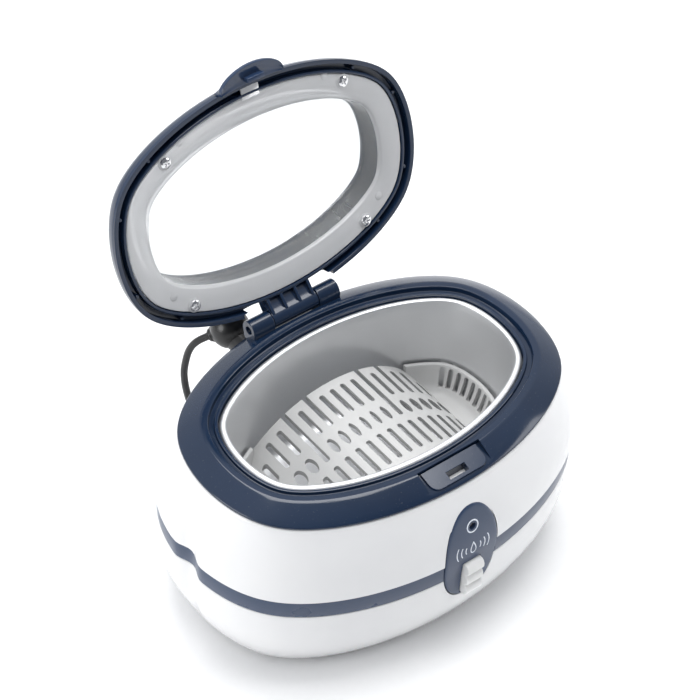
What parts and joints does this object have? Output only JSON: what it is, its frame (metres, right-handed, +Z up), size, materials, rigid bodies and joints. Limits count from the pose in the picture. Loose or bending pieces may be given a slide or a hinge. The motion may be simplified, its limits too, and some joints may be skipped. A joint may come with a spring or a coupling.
{
  "type": "ultrasonic cleaner",
  "caption": "Oval table-top ultrasonic cleaner with hinged clear-windowed lid, deep-drawn tank, lift-out slotted basket, push button and mains lead.",
  "frame": {"origin": "on the table, under the middle of the tank", "axes": "+Z up, +X along the body's length, -Y towards the control panel; the lid is stored open"},
  "size_m": [0.1986, 0.1943, 0.2178],
  "materials": {
    "white_plastic": "polished white moulding",
    "slate_plastic": "slate blue moulding, half gloss",
    "navy_plastic": "polished navy moulding",
    "satin_steel": "satin deep-drawn stainless steel",
    "aluminium": "plain pressed aluminium",
    "screw_steel": "bright plated steel",
    "silicone": "soft grey silicone",
    "ceramic": "fired piezo ceramic",
    "circuit_board": "green glass-fibre board",
    "ferrite": "wound ferrite core, dull dark grey",
    "dark_plastic": "dark component plastic",
    "lamp_lens": "dark lens over a small lamp, unlit",
    "black_rubber": "black flexible plastic, slight sheen",
    "clear_plastic": "clear moulded cover",
    "basket_plastic": "warm light grey moulding"
  },
  "bodies": {
    "base": {"lower_housing": "white_plastic", "stripe_band": "slate_plastic", "upper_housing": "white_plastic", "case_screw_1": "screw_steel", "case_screw_2": "screw_steel", "case_screw_3": "screw_steel", "case_screw_4": "screw_steel", "foot_1": "black_rubber", "foot_2": "black_rubber", "foot_3": "black_rubber", "foot_4": "black_rubber", "top_ring": "navy_plastic", "tank": "satin_steel", "tank_seal": "silicone", "hinge_pin": "screw_steel", "transducer_block": "satin_steel", "piezo_disc": "ceramic", "transducer_back": "satin_steel", "drive_board": "circuit_board", "transformer": "ferrite", "heat_sink": "aluminium", "filter_capacitor": "dark_plastic", "control_panel": "slate_plastic", "control_board": "circuit_board", "switch_body": "dark_plastic", "indicator_lamp": "lamp_lens", "strain_relief": "black_rubber", "power_cord": "black_rubber", "cord_coil": "black_rubber", "cord_tail": "black_rubber", "mains_plug": "black_rubber"},
    "lid": {"lid_frame": "navy_plastic", "lid_window": "clear_plastic", "lid_screw_1": "screw_steel", "lid_screw_2": "screw_steel", "lid_screw_3": "screw_steel", "lid_screw_4": "screw_steel", "lid_handle": "slate_plastic"},
    "power_button": {"power_button": "white_plastic"},
    "basket": {"basket": "basket_plastic"}
  },
  "joints": [
    {"name": "lid_hinge", "type": "hinge", "parent": "base", "child": "lid", "pos_m": [0, 0.0585, 0.1005], "axis": [-1, 0, 0], "range_deg": [-108.4, 0]},
    {"name": "button_press", "type": "slide", "parent": "base", "child": "power_button", "axis": [0, 1, 0], "range_m": [0, 0.0015], "stiffness_N_per_m": 300},
    {"name": "basket_lift", "type": "slide", "parent": "base", "child": "basket", "axis": [0, 0, 1], "range_m": [0, 0.028]}
  ]
}
